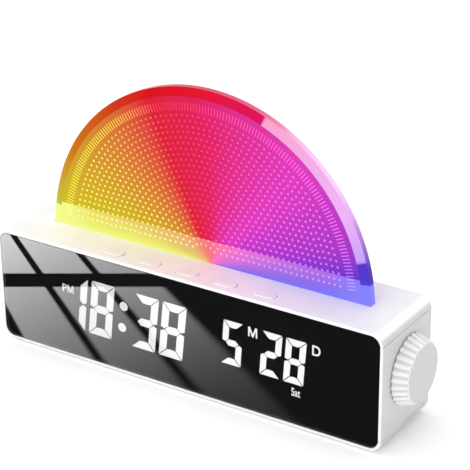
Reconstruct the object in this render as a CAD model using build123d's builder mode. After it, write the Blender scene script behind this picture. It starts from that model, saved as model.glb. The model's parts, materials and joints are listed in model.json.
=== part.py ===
"""Sunrise alarm clock: a long rounded box with a smoked display lens across its front, an
edge-lit half-round light plate standing in a slot in its top, five oval keys in front of the
plate and a fluted knob on the right end panel.

Millimetres. X runs along the clock to the right, Y to the back and Z up. The origin lies on
the surface that the clock stands on, under the middle of its housing.
"""

import os
from math import cos, pi, radians, sin, sqrt, tan

from build123d import *

os.makedirs("parts", exist_ok=True)

# ------------------------------------------------------------------ driving dimensions
# Housing: end panels are let into its sides, the cover closes its back.
body_length = 200.0
body_height = 55.0
body_depth = 42.0
corner_radius = 5.9
wall = 2.2
front_edge_radius = 0.4
back_edge_radius = 0.3
cover_depth = 3.3
seam_gap = 0.3
seat_gap = 0.15
end_flange_thickness = 1.5
end_flange_reach = 1.5
cut_over = 1.0

# Rubber feet, let into the floor.
foot_radius = 4.5
foot_recess = 0.8
foot_proud = 0.6
foot_end_inset = 14.0
foot_side_inset = 8.0

# Front lens and the bulkhead that it is glued to.
rim = 1.3
lens_gap = 0.1
lens_thickness = 1.8
lens_edge = 0.2
bulkhead = 1.5

# Display: film, reflector block with a light well for each bar, board with a light in each.
film_thickness = 0.25
reflector_length = 152.0
reflector_margin = 11.5
reflector_depth = 6.0
reflector_gap = 0.3
board_thickness = 1.6
display_tab = 8.0
display_post_inset = 4.0
display_post_radius = 2.6
post_root = 0.6
bar_gap = 0.5
time_share = 0.84
time_width = 12.7
time_stroke = 3.9
time_lean = 6.2
time_rise = -0.422
time_lefts = (-66.0, -51.35, -27.45, -12.8)
colon_radius = 2.2
colon_rises = ((-32.2, -0.178), (-30.9, 0.158))
date_share = 0.66
date_width = 9.9
date_stroke = 3.1
date_lean = 4.7
date_rise = -0.244
month_lefts = (8.75, 20.45)
day_lefts = (39.95, 51.7)
legend_height = 4.4
legend_width = 6.2
legend_rises = ((-62.2, 0.18), (36.75, 0.34), (67.95, 0.34))
weekday_last = 58.1
weekday_pitch = 8.0
weekday_rise = -0.366
light_chip_size = (1.6, 0.8, 0.6)

# Light plate: a half disc with a root that stands in the holder.
plate_share = 0.4145
plate_thickness = 4.0
plate_y = 1.05
plate_sink = 3.8
plate_bevel_width = 4.0
plate_bevel_depth = 1.2
plate_gap = 0.15
root_inset = 10.9
root_depth = 6.0
holder_wall = 3.35
holder_end = 2.2
light_height = 1.6
light_gap = 0.3
light_count = 16
light_size = 5.0
light_screw_bite = 5.0
light_screw_reach = 9.0
ear_end_inset = 26.0
ear_width = 10.0
ear_length = 8.0
ear_thickness = 2.5
ear_screw_bite = 4.0

# Top keys on tactile switches.
key_count = 5
key_pitch = 19.75
key_shift = 0.4
key_inset = 6.6
key_length = 11.0
key_depth = 5.6
key_gap = 0.2
key_proud = 0.5
key_edge_radius = 0.3
key_travel = 0.4
flange_wing = 1.6
flange_thickness = 1.0
flange_gap = 0.3
switch_size = 6.0
switch_height = 3.5
plunger_radius = 1.7
plunger_reach = 1.5
plunger_root = 1.2
plunger_floor_gap = 0.2
key_board_length = 118.0
key_board_gap = 0.95
key_post_inset = 5.0
key_post_back = 3.0

# Knob and rotary encoder on the right end panel.
knob_y = 1.4
knob_rise = 2.4
knob_base_radius = 16.0
knob_face_radius = 13.5
knob_reach = 7.05
knob_gap = 0.55
knob_travel = 0.4
knob_wall = 1.8
knob_face_edge = 0.5
knob_face_wall = 1.05
knob_hub_gap = 0.4
knob_hub_radius = 5.2
flute_count = 28
flute_radius = 1.9
flute_depth = 0.65
flute_overrun = 1.0
shaft_radius = 3.0
shaft_flat = 1.5
shaft_fit = 0.05
bushing_radius = 3.5
bushing_reach = 2.6
nut_across = 10.0
nut_height = 1.8
washer_radius = 6.0
washer_thickness = 0.4
nut_recess = 1.2
nut_recess_radius = 7.2
encoder_pad = 0.8
encoder_pad_radius = 9.0
encoder_width = 12.0
encoder_depth = 6.5
rotor_radius = 4.2
rotor_thickness = 2.4
rotor_inset = 1.2
rotor_gap = 0.3
encoder_board_width = 16.0
encoder_board_height = 20.0

# Rear cover: register lip, screws in long bosses, speaker grille and USB-C socket.
lip_depth = 2.0
lip_thickness = 1.2
lip_gap = 0.2
boss_inset = 5.2
boss_radius = 3.0
pilot_radius = 1.1
screw_radius = 1.05
screw_clear_radius = 1.5
screw_head_radius = 2.3
screw_head_height = 1.3
screw_head_gap = 0.3
screw_head_sink = 0.2
screw_tip_gap = 1.0
drive_span = 2.6
drive_slot = 0.6
drive_depth = 0.7
screw_bite = 9.0
web_thickness = 1.6
speaker_x = -50.0
speaker_rise = 2.4
speaker_radius = 14.0
speaker_depth = 9.0
speaker_rim = 1.5
magnet_radius = 7.0
magnet_height = 3.6
magnet_edge = 0.4
basket_wall = 0.8
coil_gap = 0.6
coil_wall = 0.3
cone_wall = 0.5
dome_rise = 1.6
cone_rise = 2.4
speaker_seat_height = 1.5
speaker_seat_wall = 1.2
coil_radius = 2.0
terminal_size = 2.4
terminal_drop = 11.0
terminal_depth = 3.2
grille_radius = 11.0
grille_pitch = 3.6
grille_slot = 1.8
usb_x = 45.0
usb_width = 8.94
usb_height = 3.26
usb_length = 7.3
usb_shell = 0.35
usb_gap = 0.35
usb_setback = 0.4
usb_back_wall = 1.0
usb_tongue_width = 6.7
usb_tongue_thickness = 0.7

# Main board on four posts over the floor.
main_board_length = 124.0
main_board_front_gap = 2.5
main_board_back_gap = 1.15
main_post_height = 5.8
main_post_radius = 2.8
main_post_inset = 5.0
cell_radius = 10.0
cell_thickness = 3.2
cell_x = -28.0
cell_wall = 1.2
cell_floor = 0.8
cell_edge = 0.4
chip_x = -2.0
driver_chip_spot = (13.0, 4.0)
amplifier_inset = 12.0
amplifier_forward = 5.0
chip_size = 10.0
chip_height = 1.6
capacitor_radius = 3.0
capacitor_height = 7.0
capacitor_edge = 0.5
capacitor_spots = ((20.0, -3.0), (30.0, 4.0))
ribbon_thickness = 0.8
ribbon_bend = 3.0
ribbon_run = 8.0
ribbon_slack = 3.0
connector_height = 3.0
connector_depth = 4.0
lead_width = 8.0
plug_margin = 1.0
display_lead_x = -8.0
key_lead_x = 8.0
light_lead_x = 40.0
speaker_plug_back = 3.0
encoder_lead_width = 5.0
encoder_lead_drop = 6.0
encoder_plug_inset = 10.0

# ------------------------------------------------------------------ places worked out
x_end = body_length / 2
x_inner = x_end - wall
y_front = -body_depth / 2
y_back = body_depth / 2
y_seam = y_back - cover_depth
y_lens = y_front + lens_thickness
y_bulkhead = y_lens + bulkhead
z_floor = foot_proud + wall
z_top = foot_proud + body_height
z_ceiling = z_top - wall
z_mid = foot_proud + body_height / 2

# Each end panel reaches a little way into the corner rounds.
window_reach = 0.6
window_height = body_height - 2 * (corner_radius - window_reach)

reflector_z = z_mid
reflector_height = body_height - 2 * reflector_margin
time_height = time_share * reflector_height
time_base = reflector_z + time_rise * reflector_height
date_height = date_share * reflector_height
date_base = reflector_z + date_rise * reflector_height
colon_spots = [(x, reflector_z + rise * reflector_height) for x, rise in colon_rises]
legend_spots = [(x, reflector_z + rise * reflector_height) for x, rise in legend_rises]
weekday_z = reflector_z + weekday_rise * reflector_height
weekday_spots = [(weekday_last - i * weekday_pitch, weekday_z) for i in range(7)]
y_reflector = y_lens + film_thickness
y_display_board = y_reflector + reflector_depth
y_display_back = y_display_board + board_thickness

plate_radius = plate_share * body_length
root_length = 2 * (plate_radius - root_inset)
z_plate = z_top - plate_sink
z_root = z_plate - root_depth
z_light_board = z_root - light_gap - light_height
holder_half = plate_thickness / 2 + plate_gap + holder_wall
holder_length = 2 * (plate_radius + plate_gap + holder_end)
ear_y = plate_y + holder_half + ear_length / 2
ear_spots = [(x, ear_y) for x in (ear_end_inset - x_end, 0, x_end - ear_end_inset)]
z_ear = z_light_board + ear_thickness
light_pitch = root_length / light_count
light_row = [(light_pitch * (i - (light_count - 1) / 2), plate_y) for i in range(light_count)]
light_screw_spots = [(side * (root_length / 2 + light_screw_reach), plate_y) for side in (-1, 1)]

key_y = y_front + key_inset
key_xs = [key_shift + key_pitch * (i - (key_count - 1) / 2) for i in range(key_count)]
z_flange = z_ceiling - flange_gap - flange_thickness
z_key_board = z_flange - plunger_reach - switch_height
switch_well = plunger_root + key_travel + plunger_floor_gap
key_board_front = key_y - switch_size / 2
key_board_back = plate_y - holder_half - key_board_gap
key_post_y = key_board_back - key_post_back
key_post_spots = [(side * (key_board_length / 2 - key_post_inset), key_post_y) for side in (-1, 1)]

knob_z = z_mid + knob_rise
x_knob_base = x_end + knob_gap
x_knob_face = x_end + knob_reach
x_recess = x_end - nut_recess
x_pad = x_inner - encoder_pad
x_bushing = x_recess + bushing_reach
x_encoder_back = x_pad - encoder_depth
x_hub = x_bushing + knob_travel + knob_hub_gap
x_socket = x_knob_face - knob_face_wall

speaker_z = z_mid + speaker_rise
z_main_board = z_floor + main_post_height
z_main_top = z_main_board + board_thickness
main_board_front = y_display_back + main_board_front_gap
main_board_back = y_back - wall - main_board_back_gap
main_board_depth = main_board_back - main_board_front
main_board_y = (main_board_front + main_board_back) / 2
main_post_x = main_board_length / 2 - main_post_inset
main_post_y = main_board_depth / 2 - main_post_inset
main_post_spots = [(sx * main_post_x, main_board_y + sy * main_post_y) for sx in (-1, 1) for sy in (-1, 1)]
boss_x = x_inner - boss_inset
boss_z = body_height / 2 - wall - boss_inset
boss_spots = [(sx * boss_x, z_mid + sz * boss_z) for sx in (-1, 1) for sz in (-1, 1)]
foot_spots = [
    (sx * (x_end - foot_end_inset), sy * (body_depth / 2 - foot_side_inset))
    for sx in (-1, 1)
    for sy in (-1, 1)
]


# ------------------------------------------------------------------ shared shapes
def facing_front(y):
    """Sketch plane across the clock at depth y: local x is X, local y is Z, normal is -Y."""
    return Plane(origin=(0, y, 0), x_dir=(1, 0, 0), z_dir=(0, -1, 0))


def facing_right(x):
    """Sketch plane across the knob's axis at x: local x is Y, local y is Z, normal is +X."""
    return Plane(origin=(x, 0, 0), x_dir=(0, 1, 0), z_dir=(1, 0, 0))


def facing_down(z):
    """Sketch plane seen from below: local x is X, local y is -Y, normal is -Z."""
    return Plane(origin=(0, 0, z), x_dir=(1, 0, 0), z_dir=(0, 0, -1))


def seen_from_below(spots):
    """The same places, for a sketch plane that faces down."""
    return [(x, -y) for x, y in spots]


def save(piece, name):
    """Name a finished piece and write it as its own STEP file."""
    piece.part.label = name
    export_step(piece.part, f"parts/{name}.step")


def outline(inset, mode=Mode.ADD):
    """The clock's front outline, drawn in by the given amount."""
    with Locations((0, z_mid)):
        RectangleRounded(body_length - 2 * inset, body_height - 2 * inset, corner_radius - inset, mode=mode)


def end_windows(height, mode):
    """Boxes that hold the two end panels, from the inner wall face outwards."""
    reach = wall + cut_over
    for side in (-1, 1):
        with Locations((side * (x_inner + reach / 2), (y_front + y_seam) / 2, z_mid)):
            Box(reach, y_seam - y_front + 2 * cut_over, height, mode=mode)


def rounded_bar():
    """The outside of housing and end panels as one bar, with a soft front edge."""
    with BuildSketch(facing_front(y_seam)) as section:
        outline(0)
    extrude(section.sketch, amount=y_seam - y_front)
    fillet(faces().sort_by(Axis.Y)[0].edges(), front_edge_radius)


def lens_pocket():
    """Recess in the front of the bar that takes the lens."""
    with BuildSketch(facing_front(y_front)) as section:
        outline(rim)
    extrude(section.sketch, amount=-lens_thickness, mode=Mode.SUBTRACT)


def posts(plane, spots, radius, height):
    """Screw posts that grow from a plane along its normal, with pilot holes from their tips."""
    with BuildSketch(plane) as feet:
        with Locations(*spots):
            Circle(radius)
    extrude(feet.sketch, amount=height)
    with BuildSketch(plane.offset(height)) as tips:
        with Locations(*spots):
            Circle(pilot_radius)
    extrude(tips.sketch, amount=-(height - post_root), mode=Mode.SUBTRACT)


def screws(name, plane, spots, length):
    """Pan-head screws seated on a plane, their shanks running in against its normal."""
    with BuildPart() as group:
        with BuildSketch(plane):
            with Locations(*spots):
                Circle(screw_head_radius)
        extrude(amount=screw_head_height)
        with BuildSketch(plane):
            with Locations(*spots):
                Circle(screw_radius)
        extrude(amount=-length)
        with BuildSketch(plane.offset(screw_head_height)):
            with Locations(*spots):
                Rectangle(drive_span, drive_slot)
                Rectangle(drive_slot, drive_span)
        extrude(amount=-drive_depth, mode=Mode.SUBTRACT)
    save(group, name)


def bar_corners(bar, width, height, stroke):
    """Corners of one bar of an upright seven-bar digit, from the digit's lower left corner."""
    gap = bar_gap / 2
    middle = height / 2
    half = stroke / 2
    shapes = {
        "a": [(gap, height), (width - gap, height), (width - stroke - gap, height - stroke),
              (stroke + gap, height - stroke)],
        "f": [(0, height - gap), (stroke, height - stroke - gap), (stroke, middle + half),
              (half, middle + gap), (0, middle + half / 2)],
        "g": [(half + gap, middle), (stroke + gap, middle + half), (width - stroke - gap, middle + half),
              (width - half - gap, middle), (width - stroke - gap, middle - half),
              (stroke + gap, middle - half)],
    }
    if bar in shapes:
        return shapes[bar]
    if bar == "b":
        return [(width - x, z) for x, z in shapes["f"]]
    if bar == "d":
        return [(x, height - z) for x, z in shapes["a"]]
    if bar == "e":
        return [(x, height - z) for x, z in shapes["f"]]
    return [(width - x, height - z) for x, z in shapes["f"]]


def digit(left, base, width, height, stroke, lean, bars="abcdefg"):
    """Outlines of a leaning digit's bars, on the clock's front."""
    slope = tan(radians(lean))
    return [
        [(left + x + slope * z, base + z) for x, z in bar_corners(bar, width, height, stroke)]
        for bar in bars
    ]


def ribbon(name, plane, width, spots):
    """A flat lead of the given width, whose side view runs through the spots with soft bends."""
    with BuildPart() as lead:
        with BuildSketch(plane):
            with BuildLine() as route:
                FilletPolyline(*spots, radius=ribbon_bend)
            trace(route.line, line_width=ribbon_thickness)
        extrude(amount=width / 2, both=True)
    save(lead, name)


bars = []
for left in time_lefts:
    bars += digit(left, time_base, time_width, time_height, time_stroke, time_lean)
bars += digit(month_lefts[0], date_base, date_width, date_height, date_stroke, date_lean, "bc")
for left in month_lefts[1:] + day_lefts:
    bars += digit(left, date_base, date_width, date_height, date_stroke, date_lean)

# ------------------------------------------------------------------ housing
with BuildPart() as housing:
    rounded_bar()
    lens_pocket()
    with BuildSketch(facing_front(y_front)):
        with Locations((0, reflector_z)):
            Rectangle(reflector_length + 2 * reflector_gap, reflector_height + 2 * reflector_gap)
    extrude(amount=-(y_bulkhead - y_front), mode=Mode.SUBTRACT)
    with BuildSketch(facing_front(y_bulkhead)):
        outline(wall)
    extrude(amount=-(y_seam - y_bulkhead), mode=Mode.SUBTRACT)
    end_windows(window_height, Mode.SUBTRACT)

    # Slot for the light plate and openings for the keys, through the top.
    with BuildSketch(Plane.XY.offset(z_ceiling)):
        with Locations((0, plate_y)):
            Rectangle(2 * (plate_radius + plate_gap), plate_thickness + 2 * plate_gap)
        with Locations(*[(x, key_y) for x in key_xs]):
            SlotOverall(key_length + 2 * key_gap, key_depth + 2 * key_gap)
    extrude(amount=wall, mode=Mode.SUBTRACT)

    # Pockets for the feet.
    with BuildSketch(Plane.XY.offset(foot_proud)):
        with Locations(*foot_spots):
            Circle(foot_radius + seat_gap)
    extrude(amount=foot_recess, mode=Mode.SUBTRACT)

    # Long bosses for the cover's screws, each tied to floor or top by a web.
    with BuildSketch(facing_front(y_bulkhead)):
        with Locations(*boss_spots):
            Circle(boss_radius)
    extrude(amount=-(y_seam - y_bulkhead))
    with BuildSketch(facing_front(y_bulkhead)):
        for x, z in boss_spots:
            edge = z_floor if z < z_mid else z_ceiling
            with Locations((x, (z + edge) / 2)):
                Rectangle(web_thickness, abs(z - edge))
    extrude(amount=-(y_seam - lip_depth - seat_gap - y_bulkhead))
    with BuildSketch(facing_front(y_seam)):
        with Locations(*boss_spots):
            Circle(pilot_radius)
    extrude(amount=screw_bite, mode=Mode.SUBTRACT)

    # Posts: display board behind the bulkhead, main board on the floor, key board and
    # plate holder under the top.
    display_post_x = (reflector_length + display_tab) / 2
    display_post_z = reflector_height / 2 - display_post_inset
    display_spots = [
        (sx * display_post_x, reflector_z + sz * display_post_z) for sx in (-1, 1) for sz in (-1, 1)
    ]
    with BuildSketch(facing_front(y_bulkhead)):
        with Locations(*display_spots):
            Circle(display_post_radius)
    extrude(amount=-(y_display_board - y_bulkhead))
    with BuildSketch(facing_front(y_display_board)):
        with Locations(*display_spots):
            Circle(pilot_radius)
    extrude(amount=y_display_board - y_bulkhead, mode=Mode.SUBTRACT)
    posts(Plane.XY.offset(z_floor), main_post_spots, main_post_radius, main_post_height)
    posts(
        facing_down(z_ceiling),
        seen_from_below(key_post_spots),
        display_post_radius,
        z_ceiling - z_key_board,
    )
    posts(facing_down(z_ceiling), seen_from_below(ear_spots), display_post_radius, z_ceiling - z_ear)
save(housing, "housing")


# ------------------------------------------------------------------ end panels
def end_panel(side):
    """Side panel flush with the bar, with a flange that seats behind the housing's walls."""
    rounded_bar()
    with Locations((side * (x_inner + wall), (y_front + y_seam) / 2, z_mid)):
        Box(2 * wall, y_seam - y_front, window_height - 2 * seam_gap, mode=Mode.INTERSECT)
    lens_pocket()
    flange_back = y_seam - lip_depth - seat_gap
    with BuildSketch(facing_front(y_bulkhead + seat_gap)) as section:
        outline(wall + seat_gap)
        with Locations((side * x_inner, z_mid)):
            Rectangle(2 * end_flange_thickness, window_height + 2 * end_flange_reach, mode=Mode.INTERSECT)
        with Locations((side * (x_inner - seat_gap / 2), z_mid)):
            Rectangle(seat_gap, body_height - 2 * corner_radius)
    extrude(section.sketch, amount=-(flange_back - y_bulkhead - seat_gap))


with BuildPart() as end_cap_left:
    end_panel(-1)
save(end_cap_left, "end_cap_left")

with BuildPart() as end_cap_right:
    end_panel(1)
    # Pad behind the panel and recess in front of it, for the encoder and its nut.
    with BuildSketch(facing_right(x_pad)):
        with Locations((knob_y, knob_z)):
            Circle(encoder_pad_radius)
    extrude(amount=encoder_pad)
    with BuildSketch(facing_right(x_pad)):
        with Locations((knob_y, knob_z)):
            Rectangle(encoder_width + 2 * seat_gap, encoder_width + 2 * seat_gap)
    extrude(amount=-(end_flange_thickness - encoder_pad + cut_over), mode=Mode.SUBTRACT)
    with BuildSketch(facing_right(x_end)):
        with Locations((knob_y, knob_z)):
            Circle(nut_recess_radius)
    extrude(amount=-nut_recess, mode=Mode.SUBTRACT)
    with BuildSketch(facing_right(x_recess)):
        with Locations((knob_y, knob_z)):
            Circle(bushing_radius + seat_gap)
    extrude(amount=-(x_recess - x_pad + end_flange_thickness), mode=Mode.SUBTRACT)
save(end_cap_right, "end_cap_right")

# ------------------------------------------------------------------ rear cover
with BuildPart() as rear_cover:
    with BuildSketch(facing_front(y_back)):
        outline(0)
    extrude(amount=cover_depth)
    fillet(faces().sort_by(Axis.Y)[-1].edges(), back_edge_radius)
    with BuildSketch(facing_front(y_seam)):
        outline(wall)
    extrude(amount=-(cover_depth - wall), mode=Mode.SUBTRACT)

    # Register lip, bosses that meet the housing's, seat ring of the speaker.
    with BuildSketch(facing_front(y_back - wall)):
        outline(wall + lip_gap)
        outline(wall + lip_gap + lip_thickness, mode=Mode.SUBTRACT)
    extrude(amount=cover_depth - wall + lip_depth)
    with BuildSketch(facing_front(y_back - wall)):
        with Locations(*boss_spots):
            Circle(boss_radius)
    extrude(amount=cover_depth - wall)
    with BuildSketch(facing_front(y_back - wall)):
        with Locations((speaker_x, speaker_z)):
            Circle(speaker_radius + seat_gap + speaker_seat_wall)
            Circle(speaker_radius + seat_gap, mode=Mode.SUBTRACT)
    extrude(amount=speaker_seat_height)

    # Counterbored screw holes, grille slots cut to a round field, socket opening.
    with BuildSketch(facing_front(y_back)):
        with Locations(*boss_spots):
            Circle(screw_head_radius + screw_head_gap)
    extrude(amount=screw_head_height + screw_head_sink, mode=Mode.SUBTRACT)
    with BuildSketch(facing_front(y_back)):
        with Locations(*boss_spots):
            Circle(screw_clear_radius)
    extrude(amount=cover_depth, mode=Mode.SUBTRACT)
    slot_steps = int(grille_radius / grille_pitch)
    with BuildSketch(facing_front(y_back)):
        for step in range(-slot_steps, slot_steps + 1):
            chord = 2 * sqrt(grille_radius**2 - (step * grille_pitch) ** 2)
            with Locations((speaker_x + step * grille_pitch, speaker_z)):
                SlotOverall(max(chord, 2 * grille_slot), grille_slot, rotation=90)
        with Locations((usb_x, z_main_top + usb_height / 2)):
            SlotOverall(usb_width + 2 * usb_gap, usb_height + 2 * usb_gap)
    extrude(amount=wall, mode=Mode.SUBTRACT)
save(rear_cover, "rear_cover")
screws(
    "rear_cover_screws",
    Plane(origin=(0, y_back - screw_head_height - screw_head_sink, 0), x_dir=(-1, 0, 0), z_dir=(0, 1, 0)),
    [(-x, z) for x, z in boss_spots],
    cover_depth - screw_head_height - screw_head_sink + screw_bite - screw_tip_gap,
)

# ------------------------------------------------------------------ feet
with BuildPart() as rubber_feet:
    with BuildSketch(Plane.XY):
        with Locations(*foot_spots):
            Circle(foot_radius)
    extrude(amount=foot_proud + foot_recess)
    chamfer(faces().filter_by(Plane.XY).group_by(Axis.Z)[0].edges(), foot_proud / 2)
save(rubber_feet, "rubber_feet")

# ------------------------------------------------------------------ lens and display
with BuildPart() as display_lens:
    with BuildSketch(facing_front(y_lens)):
        outline(rim + lens_gap)
    extrude(amount=lens_thickness)
    chamfer(faces().sort_by(Axis.Y)[0].edges(), lens_edge)
save(display_lens, "display_lens")

with BuildPart() as display_film:
    with BuildSketch(facing_front(y_lens)):
        with Locations((0, reflector_z)):
            Rectangle(reflector_length, reflector_height)
    extrude(amount=-film_thickness)
save(display_film, "display_film")

with BuildPart() as digit_reflector:
    with BuildSketch(facing_front(y_reflector)):
        with Locations((0, reflector_z)):
            Rectangle(reflector_length, reflector_height)
        for corners in bars:
            Polygon(*corners, align=None, mode=Mode.SUBTRACT)
        with Locations(*colon_spots):
            Circle(colon_radius, mode=Mode.SUBTRACT)
        with Locations(*legend_spots):
            Rectangle(legend_width, legend_height, mode=Mode.SUBTRACT)
        with Locations(*weekday_spots):
            Rectangle(legend_height, legend_height, mode=Mode.SUBTRACT)
    extrude(amount=-reflector_depth)
save(digit_reflector, "digit_reflector")

with BuildPart() as display_board:
    with BuildSketch(facing_front(y_display_board)):
        with Locations((0, reflector_z)):
            Rectangle(reflector_length + 2 * display_tab, reflector_height)
        with Locations(*display_spots):
            Circle(screw_clear_radius, mode=Mode.SUBTRACT)
    extrude(amount=-board_thickness)
save(display_board, "display_board")

bar_middles = [(sum(x for x, _ in c) / len(c), sum(z for _, z in c) / len(c)) for c in bars]
with BuildPart() as display_leds:
    with BuildSketch(facing_front(y_display_board)):
        with Locations(*bar_middles, *colon_spots, *legend_spots, *weekday_spots):
            Rectangle(light_chip_size[0], light_chip_size[1])
    extrude(amount=light_chip_size[2])
save(display_leds, "display_leds")
screws(
    "display_screws",
    Plane(origin=(0, y_display_back, 0), x_dir=(-1, 0, 0), z_dir=(0, 1, 0)),
    [(-x, z) for x, z in display_spots],
    board_thickness + y_display_board - y_bulkhead - screw_tip_gap,
)

# ------------------------------------------------------------------ light plate
with BuildPart() as light_plate:
    with BuildSketch(facing_front(plate_y + plate_thickness / 2)):
        with Locations((0, z_plate)):
            Circle(plate_radius)
        with Locations((0, z_plate - plate_radius / 2)):
            Rectangle(2 * plate_radius, plate_radius, mode=Mode.SUBTRACT)
        with Locations((0, z_plate - root_depth / 2)):
            Rectangle(root_length, root_depth)
    extrude(amount=plate_thickness)
    plate_front = plate_y - plate_thickness / 2
    with BuildSketch(Plane.XY.offset(z_plate)):
        Polygon(
            (plate_radius - plate_bevel_width, plate_front),
            (plate_radius + cut_over, plate_front),
            (plate_radius + cut_over, plate_front + plate_bevel_depth),
            (plate_radius, plate_front + plate_bevel_depth),
            align=None,
        )
    revolve(axis=Axis((0, 0, z_plate), (0, 1, 0)), mode=Mode.SUBTRACT)
save(light_plate, "light_plate")

with BuildPart() as plate_holder:
    with BuildSketch(Plane.XY.offset(z_light_board)):
        with Locations((0, plate_y)):
            Rectangle(holder_length, 2 * holder_half)
    extrude(amount=z_ceiling - z_light_board)
    with BuildSketch(Plane.XY.offset(z_light_board)):
        with Locations(*ear_spots):
            Rectangle(ear_width, ear_length)
    extrude(amount=ear_thickness)

    # Upper slot for the half disc, narrower slot for its root, trough for the lights.
    with BuildSketch(Plane.XY.offset(z_plate)):
        with Locations((0, plate_y)):
            Rectangle(2 * (plate_radius + plate_gap), plate_thickness + 2 * plate_gap)
    extrude(amount=z_ceiling - z_plate, mode=Mode.SUBTRACT)
    with BuildSketch(Plane.XY.offset(z_root)):
        with Locations((0, plate_y)):
            Rectangle(root_length + 2 * plate_gap, plate_thickness + 2 * plate_gap)
    extrude(amount=root_depth, mode=Mode.SUBTRACT)
    with BuildSketch(Plane.XY.offset(z_light_board)):
        with Locations((0, plate_y)):
            Rectangle(root_length + 2 * plate_gap, light_size + 2 * light_gap)
    extrude(amount=z_root - z_light_board, mode=Mode.SUBTRACT)
    with BuildSketch(Plane.XY.offset(z_light_board)):
        with Locations(*light_screw_spots):
            Circle(pilot_radius)
        with Locations(*ear_spots):
            Circle(screw_clear_radius)
    extrude(amount=light_screw_bite, mode=Mode.SUBTRACT)
save(plate_holder, "plate_holder")

with BuildPart() as light_board:
    with BuildSketch(Plane.XY.offset(z_light_board)):
        with Locations((0, plate_y)):
            Rectangle(holder_length, 2 * holder_half)
        with Locations(*light_screw_spots):
            Circle(screw_clear_radius, mode=Mode.SUBTRACT)
    extrude(amount=-board_thickness)
save(light_board, "light_board")

with BuildPart() as light_leds:
    with BuildSketch(Plane.XY.offset(z_light_board)):
        with Locations(*light_row):
            Rectangle(light_size, light_size)
    extrude(amount=light_height)
save(light_leds, "light_leds")
screws(
    "light_board_screws",
    facing_down(z_light_board - board_thickness),
    seen_from_below(light_screw_spots),
    board_thickness + light_screw_bite - screw_tip_gap,
)
screws(
    "plate_holder_screws",
    facing_down(z_light_board),
    seen_from_below(ear_spots),
    ear_thickness + ear_screw_bite,
)

# ------------------------------------------------------------------ keys
for number, key_x in enumerate(key_xs, start=1):
    with BuildPart() as button_cap:
        with BuildSketch(Plane.XY.offset(z_flange)):
            with Locations((key_x, key_y)):
                SlotOverall(key_length + 2 * flange_wing, key_depth)
        extrude(amount=flange_thickness)
        with BuildSketch(Plane.XY.offset(z_flange)):
            with Locations((key_x, key_y)):
                SlotOverall(key_length, key_depth)
        extrude(amount=z_top + key_proud - z_flange)
        fillet(faces().sort_by(Axis.Z)[-1].edges(), key_edge_radius)
    save(button_cap, f"button_cap_{number}")

    with BuildPart() as tact_plunger:
        with BuildSketch(Plane.XY.offset(z_flange)):
            with Locations((key_x, key_y)):
                Circle(plunger_radius)
        extrude(amount=-(plunger_reach + plunger_root))
    save(tact_plunger, f"tact_plunger_{number}")

switch_spots = [(x, key_y) for x in key_xs]
with BuildPart() as tact_switches:
    with BuildSketch(Plane.XY.offset(z_key_board)):
        with Locations(*switch_spots):
            Rectangle(switch_size, switch_size)
    extrude(amount=switch_height)
    with BuildSketch(Plane.XY.offset(z_key_board + switch_height)):
        with Locations(*switch_spots):
            Circle(plunger_radius + shaft_fit)
    extrude(amount=-switch_well, mode=Mode.SUBTRACT)
save(tact_switches, "tact_switches")

with BuildPart() as button_board:
    with BuildSketch(Plane.XY.offset(z_key_board)):
        with Locations((0, (key_board_front + key_board_back) / 2)):
            Rectangle(key_board_length, key_board_back - key_board_front)
        with Locations(*key_post_spots):
            Circle(screw_clear_radius, mode=Mode.SUBTRACT)
    extrude(amount=-board_thickness)
save(button_board, "button_board")
screws(
    "button_board_screws",
    facing_down(z_key_board - board_thickness),
    seen_from_below(key_post_spots),
    board_thickness + z_ceiling - z_key_board - screw_tip_gap,
)


# ------------------------------------------------------------------ knob and encoder
def shaft_section(radius):
    """Flatted round on the knob's axis; the flat keeps its distance from the round."""
    with Locations((knob_y, knob_z)):
        Circle(radius)
    with Locations((knob_y, knob_z + radius - shaft_flat / 2)):
        Rectangle(2 * radius, shaft_flat, mode=Mode.SUBTRACT)


knob_axis = Axis((0, knob_y, knob_z), (1, 0, 0))
knob_slope = (knob_face_radius - knob_base_radius) / (x_knob_face - x_knob_base)
flute_planes = []
for turn in range(flute_count):
    angle = 2 * pi * turn / flute_count
    away = Vector(0, cos(angle), sin(angle))
    along = Vector(1, 0, 0) + away * knob_slope
    start = Vector(x_knob_base, knob_y, knob_z) + away * (knob_base_radius + flute_radius - flute_depth)
    flute_planes.append(Plane(origin=start - along * flute_overrun, z_dir=along))

with BuildPart() as knob:
    with BuildSketch(Plane.XY.offset(knob_z)):
        with BuildLine():
            Polyline(
                (x_knob_base, knob_y),
                (x_knob_base, knob_y + knob_base_radius),
                (x_knob_face - knob_face_edge, knob_y + knob_face_radius),
                (x_knob_face, knob_y + knob_face_radius - knob_face_edge),
                (x_knob_face, knob_y),
                close=True,
            )
        make_face()
    revolve(axis=knob_axis)
    with BuildSketch(*flute_planes):
        Circle(flute_radius)
    extrude(amount=x_knob_face - x_knob_base + 3 * flute_overrun, mode=Mode.SUBTRACT)

    # Hollow back with a hub, socketed for the flatted shaft.
    with BuildSketch(facing_right(x_knob_base)):
        with Locations((knob_y, knob_z)):
            Circle(knob_face_radius - knob_wall)
    extrude(amount=x_socket - x_knob_base, mode=Mode.SUBTRACT)
    with BuildSketch(facing_right(x_hub)):
        with Locations((knob_y, knob_z)):
            Circle(knob_hub_radius)
    extrude(amount=x_socket - x_hub)
    with BuildSketch(facing_right(x_hub)):
        shaft_section(shaft_radius + shaft_fit)
    extrude(amount=x_socket - x_hub, mode=Mode.SUBTRACT)
save(knob, "knob")

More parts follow.
